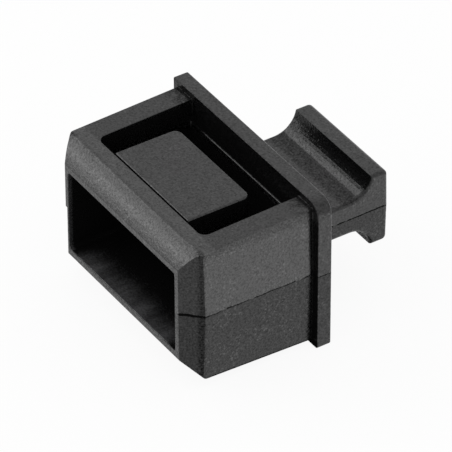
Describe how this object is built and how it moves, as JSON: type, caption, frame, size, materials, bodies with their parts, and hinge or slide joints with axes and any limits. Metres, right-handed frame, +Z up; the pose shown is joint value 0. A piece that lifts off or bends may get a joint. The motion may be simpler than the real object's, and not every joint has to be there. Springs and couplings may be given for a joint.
{
  "type": "transceiver dust plug",
  "caption": "Hollow soft plug with a lead-in mouth, a roof window round a spring tongue, a stop flange and a lipped pull tab, for an unused transceiver port.",
  "frame": {"origin": "middle of the stop flange's front face, on the mould's parting plane", "axes": "+Y points out of the port, from the mouth towards the pull tab; +X runs across the plug; +Z is up, towards the window and the tongue"},
  "size_m": [0.0148, 0.0153, 0.0099],
  "materials": {
    "plug_rubber": "matte, finely grained, moulded"
  },
  "bodies": {
    "root": {"dust_plug": "plug_rubber"}
  },
  "joints": []
}
